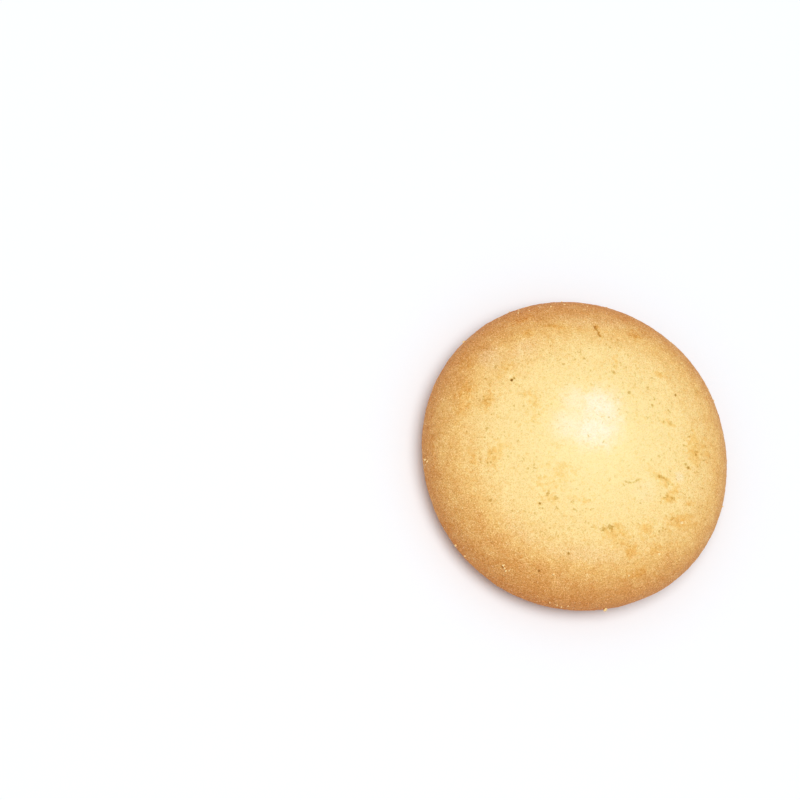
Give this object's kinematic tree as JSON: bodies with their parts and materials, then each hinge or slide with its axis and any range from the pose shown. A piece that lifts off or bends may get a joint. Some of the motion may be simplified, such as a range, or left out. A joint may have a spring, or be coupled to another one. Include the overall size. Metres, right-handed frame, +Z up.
{
  "type": "round biscuit",
  "caption": "Plain round baked biscuit with a full, softly domed top, pale in the middle and browned towards the rim, on a narrower flat underside that it rests on.",
  "frame": {"origin": "middle of the flat underside, at the bottom of the biscuit's box", "axes": "+Z up through the crown, +X and +Y across the biscuit"},
  "size_m": [0.06, 0.0596, 0.0176],
  "materials": {
    "crust": "matte, dry, finely sandy baked crust, pale cream on the crown and golden brown at the rim"
  },
  "bodies": {
    "root": {"biscuit": "crust"}
  },
  "joints": []
}
